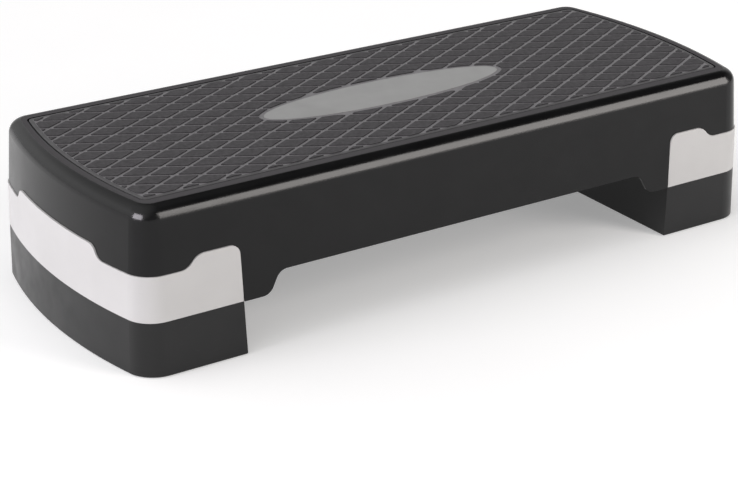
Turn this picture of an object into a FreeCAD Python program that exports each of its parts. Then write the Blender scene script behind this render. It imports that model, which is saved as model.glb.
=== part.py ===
import FreeCAD
import Part
import Sketcher
import os

# Aerobic step platform with two heights. A hollow black deck carries an inlaid tread mat with an oval
# badge plate. A pale end riser is screwed under each end of the deck, and a black foot plugs into each
# riser to add the second height. The long side runs along X, the floor is at zero and the origin is in
# the middle of the footprint.

# Sizes in millimetres, angles in degrees. Plan sizes are those at the floor, before the draft.
SIZES = {
    # whole outline
    "foot_lift": 50.0,  # height that a foot adds, floor to the underside of the riser
    "deck_rise": 100.0,  # underside of the riser to the top of the deck
    "half_width": 141.2,  # middle to the long side
    "corner_reach": 326.6,  # middle to the plan corner, before it is rounded
    "end_bow": 19.6,  # how far the end bulges past its corners
    "corner_radius": 27.7,  # plan corner
    "draft_angle": 1.5,  # the outer walls of foot and riser lean in by this towards the top
    "inner_edge": 231.0,  # middle to the inner face of foot and riser
    "lean_angle": 2.2,  # the inner face leans outward by this towards the top
    "wall": 2.5,  # moulded outer walls of deck and foot
    "seam_gap": 0.3,  # open seam between deck and riser
    "overrun": 5.0,  # how far cutting shapes pass the faces that they cut
    # deck
    "deck_draft_angle": 4.2,  # the deck's outer walls lean in more
    "deck_inset": 0.9,  # deck behind the riser's face at its low edge
    "rim_radius": 12.8,  # rounded shoulder along the top edge
    "under_rim_radius": 8.0,  # the same shoulder inside
    "top_plate": 3.0,  # plate under the mat
    "skirt_rise": 20.0,  # lower edge of the long skirt above the underside of the riser
    "lobe_length": 23.2,  # inner face of the riser to the foot of the skirt's step
    "lobe_run": 10.6,  # length of the step's slope
    "lobe_radius": 12.0,  # rounding at both ends of the slope
    "web": 2.2,  # cross walls of the deck beside the risers
    "rib": 2.0,  # ribs under the plate
    "rib_depth": 18.0,  # height of those ribs
    "rib_spread": 68.0,  # middle to the outer long ribs
    "deck_boss_radius": 6.0,  # screw bosses that hang from the plate
    # tread mat and badge
    "mat_half_width": 113.5,
    "mat_reach": 308.6,  # middle to the mat's corner
    "mat_bow": 12.0,
    "mat_corner_radius": 5.5,
    "mat_gap": 1.6,  # open line between mat and deck
    "mat_base": 2.4,  # sheet under the raised pads, flush with the deck
    "pad_relief": 0.7,  # height of the raised pads
    "mat_border": 4.2,  # plain strip round the pads
    "pitch_long": 40.4,  # spacing of the channels along X
    "pitch_cross": 22.8,  # the same along Y
    "channel": 3.4,  # width of a channel
    "badge_half_length": 128.5,
    "badge_half_width": 30.0,
    "badge_sink": 0.2,  # top of the badge below the tops of the pads
    "badge_margin": 5.0,  # plain strip between the badge and the pads
    # riser
    "riser_wall": 6.0,
    "floor_plate": 2.4,  # bottom of the riser and top of the foot
    "high_rise": 52.5,  # high edge of the riser's wall above its underside
    "low_rise": 41.0,  # low edge at the plan corners
    "inner_corner_radius": 9.0,  # top inner corner of the riser's wall
    "shoulder_length": 43.2,  # inner edge to the head of the step on the long side
    "shoulder_run": 9.6,
    "shoulder_radius": 15.0,
    "end_shoulder": 73.0,  # middle to the head of the step on the end
    "end_run": 7.0,
    "end_radius": 11.0,
    "tongue_gap": 0.4,  # deck wall to the riser's tongue behind it
    "tongue_rise": 8.0,  # how far the tongue stands above the seam
    "riser_rib_spread": 48.0,
    "riser_rib_rise": 22.0,  # top of the riser's ribs above its underside
    "riser_rib_margin": 52.0,  # long side to the outer ribs
    # foot posts with their pegs, and the sockets in the riser
    "post_near": 27.0,  # inner edge to the inner row of posts, pads and screws
    "post_end": 14.6,  # plan corner to the outer row
    "post_margin": 32.0,  # long side to the posts
    "post_radius": 13.5,
    "peg_radius": 9.0,
    "peg_bore": 6.0,
    "peg_height": 15.0,
    "peg_gap": 0.3,
    "socket_wall": 3.0,
    "socket_spare": 2.0,  # socket above the top of the peg
    "cross_web": 2.5,  # webs inside posts, sockets and bosses
    "foot_rib_rise": 36.0,  # lower edge of the foot's ribs above the floor
    # rubber pads
    "pad_radius": 10.0,
    "pad_thick": 5.0,
    "pad_proud": 1.0,  # how far a pad stands out of its seat
    "pad_gap": 0.2,
    "pad_round": 0.8,
    "rest_margin": 72.0,  # long side to the riser's own pads
    "rest_clearance": 1.5,  # hole in the foot round those pads
    # screws
    "screw_spread": 28.0,  # middle to the screws
    "screw_radius": 2.0,
    "screw_length": 22.0,
    "head_radius": 4.25,
    "head_height": 3.0,
    "drive_width": 1.0,
    "drive_depth": 1.5,
    "drive_reach": 2.6,
    "screw_gap": 0.3,
    "head_gap": 0.6,
    "boss_wall": 3.0,
    "boss_rise": 43.0,  # top of the riser's screw bosses above its underside
}

doc = FreeCAD.newDocument("AerobicStep")
sheet = doc.addObject("Spreadsheet::Sheet", "Size")
for row, (alias, number) in enumerate(SIZES.items(), start=1):
    sheet.set("A%d" % row, alias)
    sheet.set("B%d" % row, str(number))
    sheet.setAlias("B%d" % row, alias)
doc.recompute()

# Heights and places that several pieces share, as expressions on the sheet.
LEVEL = "Size.foot_lift"
TOP = "(Size.foot_lift + Size.deck_rise)"
HIGH = "(Size.foot_lift + Size.high_rise)"
LOW = "(Size.foot_lift + Size.low_rise)"
TREAD = "(%s + Size.pad_relief)" % TOP
MAT_FLOOR = "(%s - Size.mat_base)" % TOP
PLATE_UNDER = "(%s - Size.top_plate)" % MAT_FLOOR
BOSS_TOP = "(Size.foot_lift + Size.boss_rise)"
FAR_X = "(Size.corner_reach + Size.end_bow + Size.overrun)"
FAR_Y = "(Size.half_width + Size.overrun)"
ROWS = ("(Size.inner_edge + Size.post_near)", "(Size.corner_reach - Size.post_end)")
POST_Y = "(Size.half_width - Size.post_margin)"
REST_Y = "(Size.half_width - Size.rest_margin)"
SIDES = ("", "-")


def inner_face(level):
    return "(Size.inner_edge + %s * tan(Size.lean_angle))" % level


def tidy(text):
    return "".join(letter if letter.isalnum() else "_" for letter in text)


def bind(item, sizes):
    for name, text in sizes.items():
        item.setExpression(name, text)
    return item


def place(item, x, y, z):
    return bind(item, {"Placement.Base.x": x, "Placement.Base.y": y, "Placement.Base.z": z})


def box(name, x, y, z):
    """A box between three pairs of expressions."""
    item = doc.addObject("Part::Box", name)
    for length, (start, end) in (("Length", x), ("Width", y), ("Height", z)):
        item.setExpression(length, "%s - (%s)" % (end, start))
    return place(item, x[0], y[0], z[0])


def rod(name, x, y, z, radius):
    """An upright cylinder between two heights."""
    item = doc.addObject("Part::Cylinder", name)
    bind(item, {"Radius": radius, "Height": "%s - (%s)" % (z[1], z[0])})
    return place(item, x, y, z[0])


def fuse(name, shapes):
    item = doc.addObject("Part::MultiFuse", name)
    item.Shapes = shapes
    item.Refine = True
    return item


def common(name, shapes):
    item = doc.addObject("Part::MultiCommon", name)
    item.Shapes = shapes
    return item


def cut(name, base, tools):
    item = doc.addObject("Part::Cut", name)
    item.Base = base
    item.Tool = tools[0] if len(tools) == 1 else fuse(name + "Tools", tools)
    item.Refine = True
    return item


def mirror(name, source):
    item = doc.addObject("Part::Mirroring", name)
    item.Source = source
    item.Normal = FreeCAD.Vector(1, 0, 0)
    return item


def sketch_on(body, name, role, offset):
    """An empty sketch on one of the body's own planes, moved along its normal."""
    sketch = body.newObject("Sketcher::SketchObject", name)
    plane = [item for item in body.Origin.OriginFeatures if item.Role == role][0]
    sketch.AttachmentSupport = [(plane, "")]
    sketch.MapMode = "FlatFace"
    sketch.setExpression("AttachmentOffset.Base.z", offset)
    return sketch


def hold(sketch, kind, edge, end, text):
    """Ties one coordinate of a point to the sheet."""
    start = sketch.getPoint(edge, end)
    value = start.x if kind == "DistanceX" else start.y
    number = sketch.addConstraint(Sketcher.Constraint(kind, -1, 1, edge, end, value))
    sketch.setExpression("Constraints[%d]" % number, text)


def polygon(sketch, corners):
    """A closed outline of straight edges through corners given as expressions."""
    count = len(corners)
    turn = FreeCAD.Rotation(FreeCAD.Vector(0, 0, 1), 360.0 / count)
    rough = [FreeCAD.Vector(sheet.get("wall"), 0, 0)]
    while len(rough) < count:
        rough.append(turn.multVec(rough[-1]))
    for edge in range(count):
        sketch.addGeometry(Part.LineSegment(rough[edge], rough[(edge + 1) % count]), False)
    for edge in range(count):
        sketch.addConstraint(Sketcher.Constraint("Coincident", edge, 2, (edge + 1) % count, 1))
    for edge, (across, up) in enumerate(corners):
        hold(sketch, "DistanceX", edge, 1, across)
        hold(sketch, "DistanceY", edge, 1, up)
    return sketch


def prism(name, role, corners, length, offset="0", both_ways=False):
    """A straight solid over a polygon."""
    body = doc.addObject("PartDesign::Body", name)
    sketch = polygon(sketch_on(body, name + "Outline", role, offset), corners)
    pad = body.newObject("PartDesign::Pad", name + "Pad")
    pad.Profile = sketch
    pad.setExpression("Length", length)
    if both_ways:
        pad.SideType = "Symmetric"
    return body


def round_edges(body, name, radius, chosen):
    """Rounds the edges of the body's last feature that the test picks."""
    body.recompute(True)
    base = body.Tip
    names = ["Edge%d" % number for number, edge in enumerate(base.Shape.Edges, start=1) if chosen(edge)]
    item = body.newObject("PartDesign::Fillet", name)
    item.Base = (base, names)
    item.setExpression("Radius", radius)
    return item


def round_ridges(body, name, radius, corners):
    """Rounds the long edges of a prism over the numbered corners of its outline."""
    body.recompute(True)
    sketch = body.Group[0]
    points = [sketch.Placement.multVec(sketch.getPoint(corner, 1)) for corner in corners]
    along = sketch.Placement.Rotation.multVec(FreeCAD.Vector(0, 0, 1))
    near = sheet.get("seam_gap")

    def chosen(edge):
        middle = edge.valueAt((edge.FirstParameter + edge.LastParameter) / 2)
        return any(middle.distanceToLine(point, along) < near for point in points)

    return round_edges(body, name, radius, chosen)


def bowed_outline(sketch, half, radius, centre, corner):
    """A plan outline with two straight long sides, two bulging ends and four round corners."""
    inside = "((%s) - (%s))" % (radius, corner)
    corner_y = "((%s) - (%s))" % (half, corner)
    corner_x = "((%s) + sqrt(%s^2 - %s^2))" % (centre, inside, corner_y)
    end_x = "((%s) + (%s) * (%s - (%s)) / %s)" % (centre, radius, corner_x, centre, inside)
    end_y = "((%s) * %s / %s)" % (radius, corner_y, inside)
    rough = sheet.get("half_width")
    turn = FreeCAD.Rotation(FreeCAD.Vector(0, 0, 1), 360.0 / 16)
    ring = [FreeCAD.Vector(rough, 0, 0)]
    while len(ring) < 16:
        ring.append(turn.multVec(ring[-1]))
    # walked anticlockwise from the front of the left-hand end
    stops = [
        (-5, "-", corner_x, "-", half),
        (-3, "", corner_x, "-", half),
        (-1, "", end_x, "-", end_y),
        (1, "", end_x, "", end_y),
        (3, "", corner_x, "", half),
        (5, "-", corner_x, "", half),
        (7, "-", end_x, "", end_y),
        (9, "-", end_x, "-", end_y),
    ]
    count = len(stops)
    for edge in range(count):
        start = stops[edge][0]
        first, middle, last = (ring[(start + step) % 16] for step in (0, 1, 2))
        if edge in (0, 4):
            sketch.addGeometry(Part.LineSegment(first, last), False)
        else:
            sketch.addGeometry(Part.Arc(first, middle, last), False)
    for edge in range(count):
        sketch.addConstraint(Sketcher.Constraint("Coincident", edge, 2, (edge + 1) % count, 1))
    for edge, (number, side, x, front, y) in enumerate(stops):
        hold(sketch, "DistanceX", edge, 1, "%s(%s)" % (side, x))
        hold(sketch, "DistanceY", edge, 1, "%s(%s)" % (front, y))
    for edge, side, x in ((1, "", corner_x), (2, "", centre), (3, "", corner_x),
                          (5, "-", corner_x), (6, "-", centre), (7, "-", corner_x)):
        hold(sketch, "DistanceX", edge, 3, "%s(%s)" % (side, x))
    return sketch


END_RADIUS = "((Size.half_width^2 + Size.end_bow^2) / (2 * Size.end_bow))"
END_CENTRE = "(Size.corner_reach + Size.end_bow - %s)" % END_RADIUS
MAT_RADIUS = "((Size.mat_half_width^2 + Size.mat_bow^2) / (2 * Size.mat_bow))"
MAT_CENTRE = "(Size.mat_reach + Size.mat_bow - %s)" % MAT_RADIUS


def base_lean(level):
    """How far the outer walls of foot and riser have leaned in at a height."""
    return "%s * tan(Size.draft_angle)" % level


def deck_lean(level):
    """The same for the deck, whose walls lean in from the low edge of the riser."""
    return "%s + Size.deck_inset + (%s - %s) * tan(Size.deck_draft_angle)" % (base_lean(LOW), level, LOW)


def block(name, inset, low, high, lean):
    """The step's outer form between two heights, drawn in by an inset all round."""
    body = doc.addObject("PartDesign::Body", name)
    outlines = []
    for part, level in (("High", high), ("Low", low)):
        drawn_in = "((%s) + %s)" % (inset, lean(level))
        sketch = sketch_on(body, name + part, "XY_Plane", level)
        half = "Size.half_width - %s" % drawn_in
        radius = "%s - %s" % (END_RADIUS, drawn_in)
        corner = "Size.corner_radius - %s" % drawn_in
        outlines.append(bowed_outline(sketch, half, radius, END_CENTRE, corner))
    loft = body.newObject("PartDesign::AdditiveLoft", name + "Loft")
    loft.Profile = outlines[0]
    loft.Sections = [outlines[1]]
    loft.Ruled = True
    return body


def round_top(body, name, radius):
    """Rounds the edges round the body's top face."""
    body.recompute(True)
    top = body.Tip.Shape.BoundBox.ZMax
    near = sheet.get("seam_gap")
    return round_edges(body, name, radius, lambda edge: edge.BoundBox.ZMin > top - near)


def mat_outline(body, name, grow, level):
    """A sketch of the mat's outline, grown all round."""
    sketch = sketch_on(body, name, "XY_Plane", level)
    half = "Size.mat_half_width + (%s)" % grow
    radius = "%s + (%s)" % (MAT_RADIUS, grow)
    corner = "max(Size.mat_corner_radius + (%s); Size.mat_gap)" % grow
    return bowed_outline(sketch, half, radius, MAT_CENTRE, corner)


def mat_plate(name, grow, low, high):
    """A plate with the mat's outline, grown all round."""
    body = doc.addObject("PartDesign::Body", name)
    pad = body.newObject("PartDesign::Pad", name + "Pad")
    pad.Profile = mat_outline(body, name + "Outline", grow, low)
    pad.setExpression("Length", "%s - (%s)" % (high, low))
    body.Tip = pad
    return body


def oval(name, grow, low, high):
    """An upright oval plate, the badge's outline grown all round."""
    ring = doc.addObject("Part::Ellipse", name + "Ring")
    ring.setExpression("MajorRadius", "Size.badge_half_length + (%s)" % grow)
    ring.setExpression("MinorRadius", "Size.badge_half_width + (%s)" % grow)
    ring.setExpression("Placement.Base.z", low)
    item = doc.addObject("Part::Extrusion", name)
    item.Base = ring
    item.DirMode = "Custom"
    item.Dir = FreeCAD.Vector(0, 0, 1)
    item.Solid = True
    item.setExpression("LengthFwd", "%s - (%s)" % (high, low))
    return item


def riser_zone(name, bottom, lift, grow):
    """The space at the right-hand end that the riser fills up to its stepped edge."""
    edge = "(%s + %s)" % (HIGH, lift)
    dip = "(%s + %s)" % (LOW, lift)
    head = "Size.inner_edge + Size.shoulder_length + %s" % grow
    side = prism(name + "Side", "XZ_Plane", [
        ("%s - %s" % (inner_face(bottom), grow), bottom),
        ("%s - %s" % (inner_face(edge), grow), edge),
        (head, edge),
        ("%s + Size.shoulder_run" % head, dip),
        (FAR_X, dip),
        (FAR_X, bottom),
    ], "2 * %s" % FAR_Y, both_ways=True)
    round_ridges(side, name + "SideInner", "Size.inner_corner_radius + %s" % grow, [1])
    round_ridges(side, name + "SideSteps", "Size.shoulder_radius", [2, 3])
    head = "(Size.end_shoulder + %s)" % grow
    foot = "(%s + Size.end_run)" % head
    start = "(Size.inner_edge + Size.shoulder_length / 2)"
    end = prism(name + "End", "YZ_Plane", [
        ("-" + FAR_Y, bottom),
        (FAR_Y, bottom),
        (FAR_Y, dip),
        (foot, dip),
        (head, edge),
        ("-" + head, edge),
        ("-" + foot, dip),
        ("-" + FAR_Y, dip),
    ], "%s - %s" % (FAR_X, start), offset=start)
    round_ridges(end, name + "EndSteps", "Size.end_radius", [3, 4, 5, 6])
    return fuse(name, [side, end])


def leaning_slab(name, bottom, top, start, end):
    """A slab across the step whose two faces, given as shifts, follow the riser's leaning inner face."""
    return prism(name, "XZ_Plane", [
        ("%s + (%s)" % (inner_face(bottom), start), bottom),
        ("%s + (%s)" % (inner_face(bottom), end), bottom),
        ("%s + (%s)" % (inner_face(top), end), top),
        ("%s + (%s)" % (inner_face(top), start), top),
    ], "2 * %s" % FAR_Y, both_ways=True)


def end_space(name, bottom, top, start):
    """The space past a leaning face at the right-hand end, between two heights."""
    return prism(name, "XZ_Plane", [
        ("%s + (%s)" % (inner_face(bottom), start), bottom),
        (FAR_X, bottom),
        (FAR_X, top),
        ("%s + (%s)" % (inner_face(top), start), top),
    ], "2 * %s" % FAR_Y, both_ways=True)


def grid(y):
    """The four places of a set at the right-hand end."""
    return [(x, side + y) for x in ROWS for side in SIDES]


# Forms that several pieces are cut from
BELOW = "(-Size.overrun)"
ABOVE_RISER = "(%s + Size.tongue_rise + Size.overrun)" % HIGH
TONGUE_FACE = "(Size.wall + Size.tongue_gap)"
outer_form = block("OuterForm", "0", BELOW, ABOVE_RISER, base_lean)
foot_core = block("FootCore", "Size.wall", BELOW, ABOVE_RISER, base_lean)
riser_core = block("RiserCore", "Size.riser_wall", BELOW, ABOVE_RISER, base_lean)
tongue_form = block("TongueForm", TONGUE_FACE, BELOW, ABOVE_RISER, deck_lean)
riser_space = riser_zone("RiserSpace", LEVEL, "0", "0")
tongue_space = riser_zone("TongueSpace", LEVEL, "Size.tongue_rise", "0")

# Deck: the outer form with a rounded top edge, hollow, open for the risers at both ends
DECK_BOTTOM = "(%s - Size.overrun)" % LEVEL
deck_form = block("DeckForm", "0", DECK_BOTTOM, TOP, deck_lean)
round_top(deck_form, "DeckRim", "Size.rim_radius")
deck_hollow = block("DeckHollow", "Size.wall", BELOW, PLATE_UNDER, deck_lean)
round_top(deck_hollow, "DeckUnderRim", "Size.under_rim_radius")
SKIRT_EDGE = "(%s + Size.skirt_rise)" % LEVEL
LOBE_FOOT = "(Size.inner_edge - Size.lobe_length)"
LOBE_HEAD = "(%s - Size.lobe_run)" % LOBE_FOOT
under_gap = prism("UnderGap", "XZ_Plane", [
    ("-" + FAR_X, BELOW),
    (FAR_X, BELOW),
    (FAR_X, LEVEL),
    (LOBE_FOOT, LEVEL),
    (LOBE_HEAD, SKIRT_EDGE),
    ("-" + LOBE_HEAD, SKIRT_EDGE),
    ("-" + LOBE_FOOT, LEVEL),
    ("-" + FAR_X, LEVEL),
], "2 * %s" % FAR_Y, both_ways=True)
round_ridges(under_gap, "UnderGapSteps", "Size.lobe_radius", [3, 4, 5, 6])
deck_end = riser_zone("DeckEnd", BELOW, "Size.seam_gap", "Size.seam_gap")
ABOVE = "(%s + Size.overrun)" % TREAD
mat_recess = mat_plate("MatRecess", "Size.mat_gap", MAT_FLOOR, ABOVE)
deck_cuts = [deck_hollow, under_gap, deck_end, mirror("DeckEndLeft", deck_end), mat_recess]
deck_shell = cut("DeckShell", deck_form, deck_cuts)

# Ribs, cross walls and bosses under the deck, joined into its walls and plate
RIB_BOTTOM = "(%s - Size.rib_depth)" % PLATE_UNDER
RIB_TOP = "(%s + Size.top_plate / 2)" % PLATE_UNDER
HALF_RIB = "Size.rib / 2"
BAY_COUNT = 8
frame = []
for number in range(1, BAY_COUNT):
    middle = "(Size.inner_edge * %d / %d)" % (2 * number - BAY_COUNT, BAY_COUNT)
    span = ("%s - %s" % (middle, HALF_RIB), "%s + %s" % (middle, HALF_RIB))
    frame.append(box("CrossRib%d" % number, span, ("-" + FAR_Y, FAR_Y), (RIB_BOTTOM, RIB_TOP)))
for number, middle in enumerate(("0", "Size.rib_spread", "-Size.rib_spread")):
    span = ("%s - %s" % (middle, HALF_RIB), "%s + %s" % (middle, HALF_RIB))
    frame.append(box("LongRib%d" % number, ("-" + FAR_X, FAR_X), span, (RIB_BOTTOM, RIB_TOP)))
END_RIB = "((%s + %s) / 2)" % ROWS
for side in SIDES:
    span = ("%s%s - %s" % (side, END_RIB, HALF_RIB), "%s%s + %s" % (side, END_RIB, HALF_RIB))
    frame.append(box("EndRib" + tidy(side), span, ("-" + FAR_Y, FAR_Y), (RIB_BOTTOM, RIB_TOP)))
cross_wall = leaning_slab("CrossWall", LEVEL, RIB_TOP, "-Size.seam_gap - Size.web", "-Size.seam_gap")
frame += [cross_wall, mirror("CrossWallLeft", cross_wall)]
frame_form = block("FrameForm", "Size.wall / 2", LEVEL, RIB_TOP, deck_lean)
round_top(frame_form, "FrameRim", "Size.rim_radius - Size.wall / 2")
deck_frame = common("DeckFrame", [fuse("FrameParts", frame), frame_form])
bosses = []
pilots = []
PILOT_TOP = "(%s + Size.screw_length)" % BOSS_TOP
for side in SIDES:
    for number, (x, y) in enumerate(grid("Size.screw_spread")):
        name = "%s%d" % (tidy(side), number)
        bosses.append(rod("DeckBoss" + name, side + x, y, (BOSS_TOP, RIB_TOP), "Size.deck_boss_radius"))
        radius = "Size.screw_radius + Size.screw_gap"
        pilots.append(rod("Pilot" + name, side + x, y, ("%s - Size.overrun" % BOSS_TOP, PILOT_TOP), radius))
deck = cut("Deck", fuse("DeckWhole", [deck_shell, deck_frame] + bosses), pilots)
deck.Label = "deck_shell"

# Tread mat: a sheet with raised diamond pads between two sets of slanting channels
mat_sheet = mat_plate("MatSheet", "0", MAT_FLOOR, TOP)
pad_field = mat_plate("PadField", "-Size.mat_border", TOP, TREAD)
clear_oval = oval("ClearOval", "Size.badge_margin", TOP, ABOVE)
mat_blank = cut("MatBlank", fuse("MatLayers", [mat_sheet, pad_field]), [clear_oval])
mat = doc.addObject("PartDesign::Body", "Mat")
mat.BaseFeature = mat_blank
SLOPE = "(Size.pitch_long / Size.pitch_cross)"
MAT_END = "(Size.mat_reach + Size.mat_bow)"
STEPS = "ceil((%s + Size.mat_half_width * %s) / Size.pitch_long)" % (MAT_END, SLOPE)
HALF_CHANNEL = "(Size.channel * sqrt(Size.pitch_long^2 + Size.pitch_cross^2) / Size.pitch_cross / 2)"
x_axis = [item for item in mat.Origin.OriginFeatures if item.Role == "X_Axis"][0]
for name, lean in (("Rising", ""), ("Falling", "-")):
    sketch = sketch_on(mat, name + "Channel", "XY_Plane", TREAD)
    first = "-%s * Size.pitch_long" % STEPS
    swing = "%sSize.mat_half_width * %s" % (lean, SLOPE)
    polygon(sketch, [
        ("%s - (%s) - %s" % (first, swing, HALF_CHANNEL), "-Size.mat_half_width"),
        ("%s - (%s) + %s" % (first, swing, HALF_CHANNEL), "-Size.mat_half_width"),
        ("%s + (%s) + %s" % (first, swing, HALF_CHANNEL), "Size.mat_half_width"),
        ("%s + (%s) - %s" % (first, swing, HALF_CHANNEL), "Size.mat_half_width"),
    ])
    pocket = mat.newObject("PartDesign::Pocket", name + "Cut")
    pocket.Profile = sketch
    pocket.setExpression("Length", "Size.pad_relief")
    row_of_cuts = mat.newObject("PartDesign::LinearPattern", name + "Cuts")
    row_of_cuts.Originals = [pocket]
    row_of_cuts.Direction = (x_axis, [""])
    row_of_cuts.Refine = False
    row_of_cuts.setExpression("Length", "2 * %s * Size.pitch_long" % STEPS)
    row_of_cuts.setExpression("Occurrences", "2 * %s + 1" % STEPS)
    mat.Tip = row_of_cuts
mat.Label = "tread_mat"

# Badge: a plain oval plate that lies on the mat's sheet where the pads leave room for it
badge = oval("Badge", "0", TOP, "(%s - Size.badge_sink)" % TREAD)
badge.Label = "badge_plate"

# Riser: an open-topped box with a stepped upper edge, and a tongue that stands up behind the deck's wall
RISER_FLOOR = "(%s + Size.floor_plate)" % LEVEL
riser_hollow = common("RiserHollow", [
    riser_core,
    end_space("RiserHollowSpace", RISER_FLOOR, ABOVE_RISER, "Size.riser_wall"),
])
riser_box = cut("RiserBox", common("RiserBlock", [outer_form, riser_space]), [riser_hollow])
TONGUE_FOOT = "(%s + Size.overrun)" % RISER_FLOOR
tongue_cuts = [riser_core, end_space("TongueCut", BELOW, TONGUE_FOOT, "-Size.overrun")]
tongue = cut("Tongue", common("TongueBlock", [tongue_form, tongue_space]), tongue_cuts)
RIB_HEAD = "(%s + Size.riser_rib_rise)" % LEVEL
riser_ribs = []
rib_rows = ["0", "Size.riser_rib_spread", "-Size.riser_rib_spread"]
rib_rows += [side + "(Size.half_width - Size.riser_rib_margin)" for side in SIDES]
for number, middle in enumerate(rib_rows):
    span = ("%s - %s" % (middle, HALF_RIB), "%s + %s" % (middle, HALF_RIB))
    riser_ribs.append(box("RiserRib%d" % number, ("Size.inner_edge", FAR_X), span, (LEVEL, RIB_HEAD)))
cross_span = ("%s - %s" % (END_RIB, HALF_RIB), "%s + %s" % (END_RIB, HALF_RIB))
riser_ribs.append(box("RiserCrossRib", cross_span, ("-" + FAR_Y, FAR_Y), (LEVEL, RIB_HEAD)))
riser_rib_space = end_space("RiserRibSpace", LEVEL, ABOVE_RISER, "Size.riser_wall / 2")
riser_frame = common("RiserFrame", [fuse("RiserRibs", riser_ribs), tongue_form, riser_rib_space])
riser_solids = [riser_box, tongue, riser_frame]
riser_holes = []
BEFORE_RISER = "(%s - Size.overrun)" % LEVEL
SOCKET_BORE = "Size.peg_radius + Size.peg_gap"
SOCKET_TOP = "(%s + Size.peg_height + Size.socket_spare)" % LEVEL
SEAT_DEPTH = "(Size.pad_thick - Size.pad_proud)"
REST_SEAT = "(%s + %s)" % (LEVEL, SEAT_DEPTH)
PAD_SEAT_RADIUS = "Size.pad_radius + Size.pad_gap"
HEAD_BORE = "Size.head_radius + Size.head_gap"
HEAD_SEAT = "(%s - Size.cross_web)" % BOSS_TOP
for number, (x, y) in enumerate(grid(POST_Y)):
    radius = SOCKET_BORE + " + Size.socket_wall"
    riser_solids.append(rod("Socket%d" % number, x, y, (LEVEL, SOCKET_TOP), radius))
    riser_holes.append(rod("SocketBore%d" % number, x, y, (BEFORE_RISER, ABOVE_RISER), SOCKET_BORE))
for number, (x, y) in enumerate(grid(REST_Y)):
    radius = PAD_SEAT_RADIUS + " + Size.socket_wall"
    rest_top = "(%s + Size.cross_web)" % REST_SEAT
    riser_solids.append(rod("RestBoss%d" % number, x, y, (LEVEL, rest_top), radius))
    riser_holes.append(rod("RestSeat%d" % number, x, y, (BEFORE_RISER, REST_SEAT), PAD_SEAT_RADIUS))
for number, (x, y) in enumerate(grid("Size.screw_spread")):
    radius = HEAD_BORE + " + Size.boss_wall"
    riser_solids.append(rod("ScrewBoss%d" % number, x, y, (LEVEL, BOSS_TOP), radius))
    riser_holes.append(rod("HeadBore%d" % number, x, y, (BEFORE_RISER, HEAD_SEAT), HEAD_BORE))
    radius = "Size.screw_radius + Size.screw_gap"
    riser_holes.append(rod("ScrewHole%d" % number, x, y, (BEFORE_RISER, ABOVE_RISER), radius))
right_riser = cut("RightRiser", fuse("RiserWhole", riser_solids), riser_holes)
right_riser.Label = "right_riser"
left_riser = mirror("LeftRiser", right_riser)
left_riser.Label = "left_riser"

# Foot: a box open below, with posts that end in pegs above and hold a rubber pad below
FOOT_TOP_UNDER = "(%s - Size.floor_plate)" % LEVEL
foot_block = common("FootBlock", [outer_form, end_space("FootSpace", "Size.pad_proud", LEVEL, "0")])
foot_hollow = common("FootHollow", [
    foot_core,
    end_space("FootHollowSpace", BELOW, FOOT_TOP_UNDER, "Size.wall"),
])
foot_box = cut("FootBox", foot_block, [foot_hollow])
foot_ribs = []
half_way = "(%s / 2)" % POST_Y
foot_rows = ["0"] + [side + y for y in (half_way, POST_Y) for side in SIDES]
RIB_RANGE = ("Size.foot_rib_rise", LEVEL)
for number, middle in enumerate(foot_rows):
    span = ("%s - %s" % (middle, HALF_RIB), "%s + %s" % (middle, HALF_RIB))
    foot_ribs.append(box("FootRib%d" % number, ("Size.inner_edge", FAR_X), span, RIB_RANGE))
foot_ribs.append(box("FootCrossRib", cross_span, ("-" + FAR_Y, FAR_Y), RIB_RANGE))
foot_rib_form = block("FootRibForm", "Size.wall / 2", BELOW, ABOVE_RISER, base_lean)
foot_rib_space = end_space("FootRibSpace", BELOW, "(%s - Size.floor_plate / 2)" % LEVEL, "Size.wall / 2")
foot_frame = common("FootFrame", [fuse("FootRibs", foot_ribs), foot_rib_form, foot_rib_space])
foot_solids = [foot_box, foot_frame]
foot_holes = []
PEG_TOP = "(%s + Size.peg_height)" % LEVEL
PAD_TOP = "Size.pad_thick"
for number, (x, y) in enumerate(grid(POST_Y)):
    foot_solids.append(rod("Post%d" % number, x, y, ("Size.pad_proud", LEVEL), "Size.post_radius"))
    foot_solids.append(rod("Peg%d" % number, x, y, (FOOT_TOP_UNDER, PEG_TOP), "Size.peg_radius"))
    bore = ("%s + Size.cross_web" % PAD_TOP, "%s + Size.overrun" % PEG_TOP)
    foot_holes.append(rod("PegBore%d" % number, x, y, bore, "Size.peg_bore"))
    foot_holes.append(rod("PadSeat%d" % number, x, y, (BELOW, PAD_TOP), PAD_SEAT_RADIUS))
for number, (x, y) in enumerate(grid(REST_Y)):
    hole = ("%s - Size.overrun" % FOOT_TOP_UNDER, "%s + Size.overrun" % LEVEL)
    foot_holes.append(rod("RestHole%d" % number, x, y, hole, "Size.pad_radius + Size.rest_clearance"))
right_foot = cut("RightFoot", fuse("FootWhole", foot_solids), foot_holes)
right_foot.Label = "right_foot"
left_foot = mirror("LeftFoot", right_foot)
left_foot.Label = "left_foot"


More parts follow.
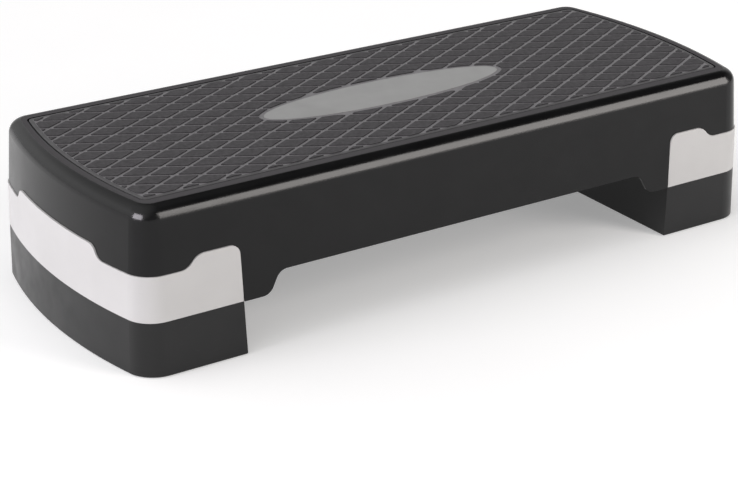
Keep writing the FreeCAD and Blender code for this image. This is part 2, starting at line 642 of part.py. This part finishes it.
def rubber_pad(label, x, y, z):
    """A round pad with its lower edge rounded."""
    body = doc.addObject("PartDesign::Body", tidy(label))
    sketch = sketch_on(body, tidy(label) + "Outline", "XY_Plane", "0")
    rough = sheet.get("pad_radius")
    ring = Part.Circle(FreeCAD.Vector(0, 0, 0), FreeCAD.Vector(0, 0, 1), rough)
    sketch.addGeometry(ring, False)
    sketch.addConstraint(Sketcher.Constraint("Coincident", 0, 3, -1, 1))
    number = sketch.addConstraint(Sketcher.Constraint("Radius", 0, rough))
    sketch.setExpression("Constraints[%d]" % number, "Size.pad_radius")
    pad = body.newObject("PartDesign::Pad", tidy(label) + "Pad")
    pad.Profile = sketch
    pad.setExpression("Length", "Size.pad_thick")
    near = sheet.get("pad_gap")
    round_edges(body, tidy(label) + "Round", "Size.pad_round", lambda edge: edge.BoundBox.ZMax < near)
    body.Label = label
    return place(body, x, y, z)


def screws(label, side):
    """Four pan-head screws with a cross recess, driven up from below."""
    solids = []
    for number, (x, y) in enumerate(grid("Size.screw_spread")):
        name = "%s%d" % (tidy(label), number)
        head_low = "(%s - Size.head_height)" % HEAD_SEAT
        tip = "(%s + Size.screw_length)" % HEAD_SEAT
        shank = rod(name + "Shank", side + x, y, (head_low, tip), "Size.screw_radius")
        head = rod(name + "Head", side + x, y, (head_low, HEAD_SEAT), "Size.head_radius")
        drive_depth = ("%s - Size.overrun" % head_low, "%s + Size.drive_depth" % head_low)
        slots = []
        reaches = ("Size.drive_width / 2", "Size.drive_reach")
        for across, along in (reaches, reaches[::-1]):
            slot_x = ("%s%s - %s" % (side, x, across), "%s%s + %s" % (side, x, across))
            slot_y = ("%s - %s" % (y, along), "%s + %s" % (y, along))
            slots.append(box("%sSlot%d" % (name, len(slots)), slot_x, slot_y, drive_depth))
        solids.append(cut(name, fuse(name + "Whole", [shank, head]), slots))
    group = doc.addObject("Part::Compound", tidy(label))
    group.Links = solids
    group.Label = label
    return group


pieces = [deck, mat, badge, left_riser, right_riser, left_foot, right_foot]
PLACE_NAMES = ("inner_back", "inner_front", "outer_back", "outer_front")
for hand, side in (("right", ""), ("left", "-")):
    pieces.append(screws(hand + "_riser_screws", side))
    for words, (x, y) in zip(PLACE_NAMES, grid(POST_Y)):
        pieces.append(rubber_pad("%s_foot_pad_%s" % (hand, words), side + x, y, "0"))
    for words, (x, y) in zip(PLACE_NAMES, grid(REST_Y)):
        pieces.append(rubber_pad("%s_riser_pad_%s" % (hand, words), side + x, y, LEVEL + " - Size.pad_proud"))

# Everything is rebuilt and tested before any piece is written
doc.recompute()
faulty = [item.Name for item in doc.Objects if "Invalid" in item.State or "Error" in item.State]
faulty += [item.Label for item in pieces if item.Shape.isNull() or not item.Shape.isValid()]
if faulty:
    raise RuntimeError("pieces that failed to build: " + ", ".join(faulty))
os.makedirs("parts", exist_ok=True)
for item in pieces:
    item.Shape.exportStep("parts/%s.step" % item.Label)
    bounds = item.Shape.BoundBox
    print(item.Label, len(item.Shape.Solids), round(item.Shape.Volume), bounds)
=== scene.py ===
import math
import bmesh
import bpy
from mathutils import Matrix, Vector


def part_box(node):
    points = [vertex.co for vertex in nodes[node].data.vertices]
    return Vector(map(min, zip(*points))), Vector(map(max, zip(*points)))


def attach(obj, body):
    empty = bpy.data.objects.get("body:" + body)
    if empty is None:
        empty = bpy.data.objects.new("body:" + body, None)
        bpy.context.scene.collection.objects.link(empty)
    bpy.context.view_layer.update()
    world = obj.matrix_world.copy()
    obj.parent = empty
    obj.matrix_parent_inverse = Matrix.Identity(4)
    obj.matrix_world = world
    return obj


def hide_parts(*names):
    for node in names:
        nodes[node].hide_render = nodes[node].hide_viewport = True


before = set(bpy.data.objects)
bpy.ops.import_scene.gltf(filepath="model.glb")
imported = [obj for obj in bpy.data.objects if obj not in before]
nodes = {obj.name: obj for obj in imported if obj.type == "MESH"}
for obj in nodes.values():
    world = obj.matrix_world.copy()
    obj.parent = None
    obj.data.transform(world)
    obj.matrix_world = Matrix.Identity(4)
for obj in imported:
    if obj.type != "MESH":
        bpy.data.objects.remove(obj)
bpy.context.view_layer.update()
MM = 0.001
SIDES = ("left", "right")
ROWS = ("inner", "outer")
ENDS = ("back", "front")

# Outlines read from the flat faces of a node

SAME_POINT = 0.002 * MM
SAME_HEIGHT = 0.01 * MM
LEVEL_NORMAL = 0.9
STRAIGHT_TURN = 0.002
SHARP_TURN = math.radians(20)
ARC_TURN = math.radians(18)
ARC_SHARE = 0.45


def flat_loops(node, height, facing):
    """Boundaries of a node's flat faces at a height, in metres, each as points going round."""
    work = bmesh.new()
    work.from_mesh(nodes[node].data)
    bmesh.ops.remove_doubles(work, verts=work.verts, dist=SAME_POINT)
    flat = set()
    for face in work.faces:
        level = all(abs(vert.co.z - height) < SAME_HEIGHT for vert in face.verts)
        if level and face.normal.z * facing > LEVEL_NORMAL:
            flat.add(face)
    after = {}
    for face in flat:
        for corner in face.loops:
            shared = [other for other in corner.edge.link_faces if other in flat]
            if len(shared) == 1:
                after[corner.vert] = corner.link_loop_next.vert
    loops = []
    while after:
        start, vert = next(iter(after.items()))
        del after[start]
        points = [start.co.to_2d()]
        while vert != start:
            points.append(vert.co.to_2d())
            vert = after.pop(vert)
        loops.append(points)
    work.free()
    return sorted(loops, key=lambda points: (points[0].x, points[0].y))


def turn_at(points, index):
    """The angle by which an outline turns at a point, in radians."""
    before = points[index] - points[index - 1]
    behind = points[(index + 1) % len(points)] - points[index]
    return math.atan2(before.cross(behind), before.dot(behind))


def straightened(points):
    """The outline without the points that lie on its straight runs."""
    return [point for index, point in enumerate(points) if abs(turn_at(points, index)) > STRAIGHT_TURN]


def rounded(points, radius):
    """The outline with curves in place of its sharp corners."""
    result = []
    for index, point in enumerate(points):
        turn = turn_at(points, index)
        if abs(turn) < SHARP_TURN:
            result.append(point)
            continue
        back = points[index - 1] - point
        onward = points[(index + 1) % len(points)] - point
        reach = min(radius * math.tan(abs(turn) / 2), ARC_SHARE * back.length, ARC_SHARE * onward.length)
        first = point + back.normalized() * reach
        last = point + onward.normalized() * reach
        steps = max(2, math.ceil(abs(turn) / ARC_TURN))
        for step in range(steps + 1):
            share = step / steps
            result.append((1 - share) ** 2 * first + 2 * share * (1 - share) * point + share ** 2 * last)
    return result


def area_of(points):
    """Area inside an outline that goes round anticlockwise."""
    return sum(points[index - 1].cross(point) for index, point in enumerate(points)) / 2


def girth_of(points):
    """Length round an outline."""
    return sum((point - points[index - 1]).length for index, point in enumerate(points))


def inset(points, distance):
    """The outline moved inward by a distance."""
    result = []
    for index, point in enumerate(points):
        before = (point - points[index - 1]).normalized()
        behind = (points[(index + 1) % len(points)] - point).normalized()
        first = Vector((-before.y, before.x))
        second = Vector((-behind.y, behind.x))
        result.append(point + (first + second) * (distance / (1 + first.dot(second))))
    return result


# Mesh building


def stack(work, rings, material, cap_low, cap_high):
    """Skins a row of rings of equal counts, from the lower end of a piece to the upper."""
    made = [[work.verts.new(point) for point in ring] for ring in rings]
    faces = []
    for low, high in zip(made, made[1:]):
        for index in range(len(low)):
            faces.append(work.faces.new((low[index - 1], low[index], high[index], high[index - 1])))
    if cap_low:
        faces.append(work.faces.new(list(reversed(made[0]))))
    if cap_high:
        faces.append(work.faces.new(made[-1]))
    for face in faces:
        face.smooth = True
        face.material_index = material


def level_ring(points, distance, height):
    """The outline moved inward, at a height."""
    return [point.to_3d() + Vector((0, 0, height)) for point in inset(points, distance)]


def edge_rings(points, low, high, draft, radius, margin):
    """Rings of a low plate: drafted side, rounded upper edge and a flat margin on top."""
    rings = [level_ring(points, 0, low), level_ring(points, draft, high - radius)]
    for angle in (30, 60, 90):
        across = radius * (1 - math.cos(math.radians(angle)))
        up = radius * math.sin(math.radians(angle))
        rings.append(level_ring(points, draft + across, high - radius + up))
    rings.append(level_ring(points, draft + radius + margin, high))
    return rings


def round_point(radius, share, height):
    """A point about the vertical axis, at a share of a full turn."""
    angle = 2 * math.pi * share
    return Vector((radius * math.cos(angle), radius * math.sin(angle), height))


def circle(radius, height, count):
    """A level ring of points about the vertical axis."""
    return [round_point(radius, index / count, height) for index in range(count)]


def finished(work, name, materials):
    """The object made from a bmesh, with its materials."""
    mesh = bpy.data.meshes.new(name)
    work.to_mesh(mesh)
    work.free()
    for material in materials:
        mesh.materials.append(material)
    piece = bpy.data.objects.new(name, mesh)
    bpy.context.scene.collection.objects.link(piece)
    return piece


# Materials

GLOSSY_NORMAL = 0.985
MATT_NORMAL = 0.998
MATT_ROUGHNESS = 0.9


def new_material(name):
    """A material with its node tree and shader."""
    material = bpy.data.materials.new(name)
    material.use_nodes = True
    return material, material.node_tree, material.node_tree.nodes["Principled BSDF"]


def noise(tree, scale, detail, stretch=(1, 1, 1)):
    """Noise in the object's own coordinates, in features per metre."""
    place = tree.nodes.new("ShaderNodeTexCoord")
    mapping = tree.nodes.new("ShaderNodeMapping")
    mapping.inputs["Scale"].default_value = stretch
    texture = tree.nodes.new("ShaderNodeTexNoise")
    texture.inputs["Scale"].default_value = scale
    texture.inputs["Detail"].default_value = detail
    tree.links.new(place.outputs["Object"], mapping.inputs["Vector"])
    tree.links.new(mapping.outputs["Vector"], texture.inputs["Vector"])
    return texture.outputs["Fac"]


def ramp(tree, source, stops):
    """Colours along a value, from pairs of position and colour."""
    node = tree.nodes.new("ShaderNodeValToRGB")
    elements = node.color_ramp.elements
    while len(elements) < len(stops):
        elements.new(0.5)
    for element, (position, colour) in zip(elements, stops):
        element.position = position
        element.color = (*colour, 1)
    tree.links.new(source, node.inputs["Fac"])
    return node.outputs["Color"]


def spread(tree, source, low, high, start=0.3, end=0.7):
    """A value moved from the range between start and end into the range between low and high."""
    node = tree.nodes.new("ShaderNodeMapRange")
    node.inputs["From Min"].default_value = start
    node.inputs["From Max"].default_value = end
    node.inputs["To Min"].default_value = low
    node.inputs["To Max"].default_value = high
    tree.links.new(source, node.inputs["Value"])
    return node.outputs["Result"]


def join(tree, operation, first, second):
    """Two values added, multiplied or compared."""
    node = tree.nodes.new("ShaderNodeMath")
    node.operation = operation
    tree.links.new(first, node.inputs[0])
    tree.links.new(second, node.inputs[1])
    return node.outputs[0]


def blend(tree, factor, first, second):
    """A colour mixed towards a second one by a factor."""
    node = tree.nodes.new("ShaderNodeMix")
    node.data_type = "RGBA"
    tree.links.new(factor, node.inputs["Factor"])
    tree.links.new(first, node.inputs["A"])
    node.inputs["B"].default_value = (*second, 1)
    return node.outputs["Result"]


def bump(tree, shader, heights):
    """Surface relief from pairs of height value and depth in metres."""
    before = None
    for source, depth in heights:
        node = tree.nodes.new("ShaderNodeBump")
        node.inputs["Strength"].default_value = 1
        node.inputs["Distance"].default_value = depth
        tree.links.new(source, node.inputs["Height"])
        if before:
            tree.links.new(before, node.inputs["Normal"])
        before = node.outputs["Normal"]
    tree.links.new(before, shader.inputs["Normal"])


def moulded(name, dark, light, scuff, rough, grain, ior):
    """Moulded plastic: cloudy colour, fine grain, uneven gloss and a few scuffs."""
    material, tree, shader = new_material(name)
    cloud = noise(tree, scale=14, detail=4)
    colour = ramp(tree, cloud, ((0.3, dark), (0.7, light)))
    scratch = noise(tree, scale=60, detail=6, stretch=(1, 1, 14))
    marks = spread(tree, scratch, low=0, high=0.5, start=0.66, end=0.8)
    tree.links.new(blend(tree, marks, colour, scuff), shader.inputs["Base Color"])
    gloss = noise(tree, scale=45, detail=5)
    tree.links.new(spread(tree, gloss, *rough), shader.inputs["Roughness"])
    fine = noise(tree, scale=1100, detail=2)
    wavy = noise(tree, scale=25, detail=2)
    bump(tree, shader, ((fine, grain), (wavy, 4 * grain)))
    shader.inputs["IOR"].default_value = ior
    return material


def matt_level_painted_sheen(material, colour):
    """Level upper faces of a glossy plastic: matt, with a lighter colour painted on there as sheen."""
    tree = material.node_tree
    shader = tree.nodes["Principled BSDF"]
    surface = tree.nodes.new("ShaderNodeNewGeometry")
    parts = tree.nodes.new("ShaderNodeSeparateXYZ")
    tree.links.new(surface.outputs["Normal"], parts.inputs["Vector"])
    # Share of each face that is level and upward, where the painted sheen goes
    level = spread(tree, parts.outputs["Z"], low=0, high=1, start=GLOSSY_NORMAL, end=MATT_NORMAL)
    glossy = shader.inputs["Base Color"].links[0].from_socket
    tree.links.new(blend(tree, level, glossy, colour), shader.inputs["Base Color"])
    shine = spread(tree, level, low=0.5, high=0, start=0, end=1)
    tree.links.new(shine, shader.inputs["Specular IOR Level"])
    smooth = shader.inputs["Roughness"].links[0].from_socket
    dull = spread(tree, level, low=0, high=MATT_ROUGHNESS, start=0, end=1)
    tree.links.new(join(tree, "MAXIMUM", smooth, dull), shader.inputs["Roughness"])


def rubber(name, dark, light, rough, grain, pits):
    """Grained rubber: speckled colour with a pebbled surface."""
    material, tree, shader = new_material(name)
    speckle = noise(tree, scale=320, detail=4)
    tree.links.new(ramp(tree, speckle, ((0.32, dark), (0.68, light))), shader.inputs["Base Color"])
    gloss = noise(tree, scale=90, detail=4)
    tree.links.new(spread(tree, gloss, *rough), shader.inputs["Roughness"])
    fine = noise(tree, scale=1500, detail=3)
    coarse = noise(tree, scale=500, detail=2)
    bump(tree, shader, ((fine, grain), (coarse, pits)))
    shader.inputs["IOR"].default_value = 1.5
    return material


def metal(name, dark, light, rough, grain):
    """Plated metal with fine turned marks."""
    material, tree, shader = new_material(name)
    cloud = noise(tree, scale=400, detail=4)
    tree.links.new(ramp(tree, cloud, ((0.3, dark), (0.7, light))), shader.inputs["Base Color"])
    gloss = noise(tree, scale=900, detail=3, stretch=(1, 1, 4))
    tree.links.new(spread(tree, gloss, *rough), shader.inputs["Roughness"])
    turned = noise(tree, scale=2500, detail=2, stretch=(1, 1, 6))
    bump(tree, shader, ((turned, grain),))
    shader.inputs["Metallic"].default_value = 1
    return material


deck_black = moulded(
    "deck_plastic",
    dark=(0.0036, 0.0036, 0.0039),
    light=(0.0052, 0.0052, 0.0056),
    scuff=(0.016, 0.016, 0.016),
    rough=(0.16, 0.22),
    grain=0.006 * MM,
    ior=1.33,
)
# The deck's level upper faces take this lighter colour as painted sheen, with a matt finish
matt_level_painted_sheen(deck_black, (0.084, 0.081, 0.085))
foot_black = moulded(
    "foot_plastic",
    dark=(0.006, 0.006, 0.0063),
    light=(0.009, 0.009, 0.0093),
    scuff=(0.03, 0.03, 0.03),
    rough=(0.28, 0.4),
    grain=0.014 * MM,
    ior=1.43,
)
riser_grey = moulded(
    "riser_plastic",
    dark=(0.575, 0.566, 0.562),
    light=(0.615, 0.606, 0.602),
    scuff=(0.51, 0.5, 0.49),
    rough=(0.34, 0.46),
    grain=0.012 * MM,
    ior=1.46,
)
badge_grey = moulded(
    "badge_plastic",
    dark=(0.27, 0.27, 0.268),
    light=(0.305, 0.305, 0.302),
    scuff=(0.32, 0.32, 0.32),
    rough=(0.3, 0.42),
    grain=0.01 * MM,
    ior=1.46,
)
pad_top = rubber(
    "tread_pad_rubber",
    dark=(0.038, 0.0355, 0.0385),
    light=(0.067, 0.0635, 0.068),
    rough=(0.7, 0.86),
    grain=0.05 * MM,
    pits=0.06 * MM,
)
# Channel floors: the tread rubber painted lighter, a painted sheen of their smooth floors
channel_floor_painted_sheen = rubber(
    "tread_channel_rubber_painted_sheen",
    dark=(0.135, 0.129, 0.136),
    light=(0.168, 0.161, 0.169),
    rough=(0.32, 0.44),
    grain=0.012 * MM,
    pits=0.015 * MM,
)
# Border strip: the tread rubber painted lighter than the pads, a painted sheen of the smooth strip
border_top_painted_sheen = rubber(
    "tread_border_rubber_painted_sheen",
    dark=(0.062, 0.06, 0.063),
    light=(0.084, 0.082, 0.085),
    rough=(0.45, 0.6),
    grain=0.012 * MM,
    pits=0.015 * MM,
)
# Pad walls: the tread rubber painted darker, a painted shade on the sides of the pads
pad_wall_painted_shade = rubber(
    "tread_wall_rubber_painted_shade",
    dark=(0.022, 0.021, 0.023),
    light=(0.034, 0.033, 0.035),
    rough=(0.7, 0.86),
    grain=0.02 * MM,
    pits=0.03 * MM,
)
grip_rubber = rubber(
    "grip_rubber",
    dark=(0.02, 0.02, 0.021),
    light=(0.032, 0.032, 0.033),
    rough=(0.62, 0.8),
    grain=0.03 * MM,
    pits=0.04 * MM,
)
steel = metal(
    "zinc_steel",
    dark=(0.5, 0.51, 0.53),
    light=(0.68, 0.68, 0.67),
    rough=(0.25, 0.42),
    grain=0.01 * MM,
)


def dress(node, material):
    """Gives a solid of the frame its finish."""
    nodes[node].data.materials.clear()
    nodes[node].data.materials.append(material)


dress("deck_shell", deck_black)
for side in SIDES:
    dress(side + "_riser", riser_grey)
    dress(side + "_foot", foot_black)

# Tread mat: a sheet with a rounded edge, and a raised pad for each diamond

PAD_TOP, CHANNEL_FLOOR, BORDER_TOP, PAD_WALL = range(4)
BORDER_WIDTH = 3.6 * MM
BORDER_ROUND = 0.5 * MM
BORDER_MARGIN = 0.4 * MM
PAD_CORNER = 0.5 * MM
PAD_EDGE = 0.2 * MM
PAD_EDGE_SHARE = 0.3
PAD_SINK = 0.05 * MM
SLIVER = 1.2 * MM
mat_low, mat_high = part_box("tread_mat")
deck_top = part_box("deck_shell")[1].z
work = bmesh.new()
border = straightened(list(reversed(flat_loops("tread_mat", mat_low.z, -1)[0])))
rings = edge_rings(border, mat_low.z, deck_top, draft=0, radius=BORDER_ROUND, margin=BORDER_MARGIN)
rings.append(level_ring(border, BORDER_WIDTH, deck_top))
stack(work, rings, BORDER_TOP, cap_low=True, cap_high=False)
stack(work, rings[-1:], CHANNEL_FLOOR, cap_low=False, cap_high=True)
for loop in flat_loops("tread_mat", mat_high.z, 1):
    corners = straightened(loop)
    breadth = 2 * area_of(corners) / girth_of(corners)
    if breadth < SLIVER:
        continue
    edge = min(PAD_EDGE, PAD_EDGE_SHARE * breadth)
    shape = rounded(corners, PAD_CORNER)
    rings = edge_rings(shape, deck_top - PAD_SINK, mat_high.z, draft=edge / 4, radius=edge, margin=edge / 3)
    stack(work, rings[:2], PAD_WALL, cap_low=False, cap_high=False)
    stack(work, rings[1:], PAD_TOP, cap_low=False, cap_high=True)
mat = finished(work, "tread_mat_detail", (pad_top, channel_floor_painted_sheen, border_top_painted_sheen, pad_wall_painted_shade))
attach(mat, "platform")
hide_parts("tread_mat")

# Badge: a bare oval plate with a rounded edge and a slightly crowned face

CROWN = 0.15 * MM
BADGE_DRAFT = 0.03 * MM
BADGE_ROUND = 0.3 * MM
BADGE_MARGIN = 0.1 * MM
BADGE_INSET = 0.5 * MM
# Each ring of the face: its share of the oval's size and of the crown's height
CROWN_SHARES = ((0.97, 0.2), (0.92, 0.45), (0.82, 0.7), (0.68, 0.88), (0.45, 0.97), (0.2, 1))
badge_low, badge_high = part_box("badge_plate")
face = badge_high.z - CROWN
oval = straightened(flat_loops("badge_plate", badge_high.z, 1)[0])
inner = inset(oval, BADGE_INSET)
work = bmesh.new()
rings = edge_rings(oval, badge_low.z, face, BADGE_DRAFT, BADGE_ROUND, BADGE_MARGIN)
for size, share in CROWN_SHARES:
    rings.append([point.to_3d() * size + Vector((0, 0, face + CROWN * share)) for point in inner])
stack(work, rings, 0, cap_low=True, cap_high=True)
badge = finished(work, "badge_detail", (badge_grey,))
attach(badge, "platform")
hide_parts("badge_plate")

# Rubber pads: turned discs with rings in the face that touches the floor

GRIP_COUNT = 64
# Radius and height of the points of the lower face, in millimetres
GRIP_FACE = (
    (0.8, 0.5), (1.2, 0.15), (1.7, 0), (3.2, 0), (3.6, 0.15), (3.9, 0.5),
    (4.6, 0.5), (4.9, 0.15), (5.3, 0), (6.6, 0), (7, 0.15), (7.3, 0.5),
    (8, 0.5), (8.3, 0.15), (8.7, 0), (9.2, 0), (9.6, 0.15), (9.88, 0.45), (10, 0.9),
)
# Radius of the points of the upper edge and their depth below the upper face, in millimetres
GRIP_EDGE = ((10, 0.9), (9.88, 0.4), (9.5, 0))


def grip_pad(node, body):
    """One rubber pad."""
    low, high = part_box(node)
    thick = high.z - low.z
    rings = [circle(across * MM, up * MM, GRIP_COUNT) for across, up in GRIP_FACE]
    rings += [circle(across * MM, thick - down * MM, GRIP_COUNT) for across, down in GRIP_EDGE]
    work = bmesh.new()
    stack(work, rings, 0, cap_low=True, cap_high=True)
    piece = finished(work, node + "_detail", (grip_rubber,))
    piece.location = ((low.x + high.x) / 2, (low.y + high.y) / 2, low.z)
    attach(piece, body)
    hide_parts(node)


for side in SIDES:
    for row in ROWS:
        for end in ENDS:
            grip_pad("%s_foot_pad_%s_%s" % (side, row, end), side + "_foot")
            grip_pad("%s_riser_pad_%s_%s" % (side, row, end), "platform")

# Screws: pan heads with a cross recess, a shank with a cut thread and a blunt point

SCREW_COUNT = 48
HEAD_RADIUS = 4.25 * MM
HEAD_HEIGHT = 3 * MM
HEAD_RINGS = 26
DOME_SHARE = 0.35
RECESS_HALF_WIDTH = 0.5 * MM
RECESS_REACH = 2.6 * MM
RECESS_DEPTH = 1.5 * MM
RECESS_SLOPE_SHARE = 0.35
SHANK_RADIUS = 2 * MM
NECK_SHARE = 1.05
THREAD_PITCH = 1.8 * MM
THREAD_DEPTH = 0.45 * MM
THREAD_RINGS = 132
RIDGE_SHARE = 0.3
POINT_LENGTH = 3 * MM
POINT_SHARE = 0.25


def recess(point):
    """Depth of the cross recess at a place on the head."""
    long = max(abs(point.x), abs(point.y))
    short = min(abs(point.x), abs(point.y))
    if short > RECESS_HALF_WIDTH or long > RECESS_REACH:
        return 0
    return RECESS_DEPTH * (1 - RECESS_SLOPE_SHARE * long / RECESS_REACH)


def screw(work, place, length):
    """One screw, head down, with the crown of its head at the place's height."""
    rings = []
    for step in range(1, HEAD_RINGS + 1):
        radius = HEAD_RADIUS * step / HEAD_RINGS
        ring = circle(radius, HEAD_HEIGHT * DOME_SHARE * (radius / HEAD_RADIUS) ** 4, SCREW_COUNT)
        for point in ring:
            point.z += recess(point)
        rings.append(ring)
    for radius in (HEAD_RADIUS, NECK_SHARE * SHANK_RADIUS):
        rings.append(circle(radius, HEAD_HEIGHT, SCREW_COUNT))
    for step in range(THREAD_RINGS + 1):
        height = HEAD_HEIGHT + (length - HEAD_HEIGHT) * step / THREAD_RINGS
        taper = min(1, (length - height) / POINT_LENGTH + POINT_SHARE)
        ring = []
        for index in range(SCREW_COUNT):
            share = index / SCREW_COUNT
            phase = (height / THREAD_PITCH - share) % 1
            ridge = max(0, 1 - abs(phase - 0.5) / RIDGE_SHARE)
            radius = (SHANK_RADIUS - THREAD_DEPTH * (1 - ridge)) * taper
            ring.append(round_point(radius, share, height))
        rings.append(ring)
    placed = [[place + point for point in ring] for ring in rings]
    stack(work, placed, 0, cap_low=True, cap_high=True)


for side in SIDES:
    node = side + "_riser_screws"
    low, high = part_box(node)
    work = bmesh.new()
    for x in (low.x + HEAD_RADIUS, high.x - HEAD_RADIUS):
        for y in (low.y + HEAD_RADIUS, high.y - HEAD_RADIUS):
            screw(work, Vector((x, y, low.z)), high.z - low.z)
    piece = finished(work, node + "_detail", (steel,))
    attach(piece, "platform")
    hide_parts(node)

# Floor: matt and pale, with a slight glow for the camera and in reflections so that it reads as white

FLOOR_SHADES = ((0.3, (0.84, 0.84, 0.84)), (0.7, (0.86, 0.86, 0.86)))
FLOOR_GLOW = 0.28
FLOOR_REACH = 15
floor_material, tree, shader = new_material("studio_floor")
cloud = noise(tree, scale=3, detail=3)
tree.links.new(ramp(tree, cloud, FLOOR_SHADES), shader.inputs["Base Color"])
shader.inputs["Roughness"].default_value = 0.9
shader.inputs["Specular IOR Level"].default_value = 0
shader.inputs["Emission Color"].default_value = (1, 1, 1, 1)
rays = tree.nodes.new("ShaderNodeLightPath")
seen = join(tree, "MAXIMUM", rays.outputs["Is Camera Ray"], rays.outputs["Is Glossy Ray"])
seen = join(tree, "MAXIMUM", seen, rays.outputs["Is Transmission Ray"])
glow = spread(tree, seen, low=0, high=FLOOR_GLOW, start=0, end=1)
tree.links.new(glow, shader.inputs["Emission Strength"])
work = bmesh.new()
bmesh.ops.create_grid(work, x_segments=8, y_segments=8, size=FLOOR_REACH)
floor = finished(work, "studio_floor", (floor_material,))

# Surround: dim and darker overhead, with a pale backdrop behind and a broad soft sky at the upper left

# Each pair: height of the direction, from level to straight up, and brightness there
SURROUND = ((0, 0.26), (0.3, 0.26), (0.55, 0.2), (0.7, 0.04), (1, 0.03))
BACKDROP = ((0, 0.45), (0.42, 0.45), (0.58, 0.1), (0.66, 0))
SKY_AXIS = (-0.62, 0.1, 0.78)
SKY_LEVEL = 1.25


def shades(tree, height, pairs):
    """Brightness by the height of the direction."""
    return ramp(tree, height, [(position, (level, level, level)) for position, level in pairs])


world = bpy.data.worlds.new("studio")
bpy.context.scene.world = world
world.use_nodes = True
tree = world.node_tree
place = tree.nodes.new("ShaderNodeTexCoord")
parts = tree.nodes.new("ShaderNodeSeparateXYZ")
tree.links.new(place.outputs["Generated"], parts.inputs["Vector"])
around = shades(tree, parts.outputs["Z"], SURROUND)
rearward = spread(tree, parts.outputs["Y"], low=0, high=1, start=0.1, end=0.5)
backdrop = join(tree, "MULTIPLY", shades(tree, parts.outputs["Z"], BACKDROP), rearward)
skyward = tree.nodes.new("ShaderNodeVectorMath")
skyward.operation = "DOT_PRODUCT"
skyward.inputs[1].default_value = Vector(SKY_AXIS).normalized()
tree.links.new(place.outputs["Generated"], skyward.inputs[0])
sky = spread(tree, skyward.outputs["Value"], low=0, high=SKY_LEVEL, start=0.35, end=1)
total = join(tree, "ADD", join(tree, "ADD", around, sky), backdrop)
background = tree.nodes["Background"]
background.inputs["Color"].default_value = (1, 1, 1, 1)
tree.links.new(total, background.inputs["Strength"])

# Lamps: two that fill the whole scene with soft light, and two that only draw highlights on the deck

LAMP_DISTANCE = 4
WARM = (1, 0.955, 0.925)
COOL = (0.975, 0.925, 1)
deck_only = bpy.data.collections.new("deck_only")
deck_only.objects.link(nodes["deck_shell"])


def soft_box(name, direction, width, height, radiance, colour, sheen):
    """A rectangular lamp that faces the object. A sheen lamp shows only as a highlight on the deck."""
    lamp = bpy.data.lights.new(name, "AREA")
    lamp.shape = "RECTANGLE"
    lamp.size = width
    lamp.size_y = height
    lamp.energy = radiance * math.pi * width * height
    lamp.color = colour
    holder = bpy.data.objects.new(name, lamp)
    toward = Vector(direction).normalized()
    holder.location = toward * LAMP_DISTANCE
    holder.rotation_euler = toward.to_track_quat("Z", "Y").to_euler()
    holder.visible_camera = False
    holder.visible_diffuse = not sheen
    holder.visible_glossy = sheen
    if sheen:
        holder.light_linking.receiver_collection = deck_only
    bpy.context.scene.collection.objects.link(holder)


# Each lamp: direction, width and height in metres, radiance, colour, and whether it is for sheen
soft_box("front_strip", (0.56, -0.75, 0.36), 2.6, 2.8, 10.5, WARM, True)
soft_box("front_fill", (0.5, -0.8, 0.4), 1.4, 2.5, 6.9, WARM, False)
soft_box("left_strip", (-0.94, -0.2, 0.34), 3, 2.1, 17, COOL, True)
soft_box("left_fill", (-0.96, 0.02, 0.24), 2, 1.8, 5.2, COOL, False)

# Camera at the photograph's viewing angle

camera = bpy.data.cameras.new("camera")
camera.sensor_width = 36
camera.lens = 97.31
holder = bpy.data.objects.new("camera", camera)
holder.location = (-0.9715, -1.4679, 0.7676)
holder.rotation_euler = (math.radians(66.08), 0, math.radians(-33.04))
bpy.context.scene.collection.objects.link(holder)
bpy.context.scene.camera = holder
bpy.context.scene.view_settings.view_transform = "Standard"
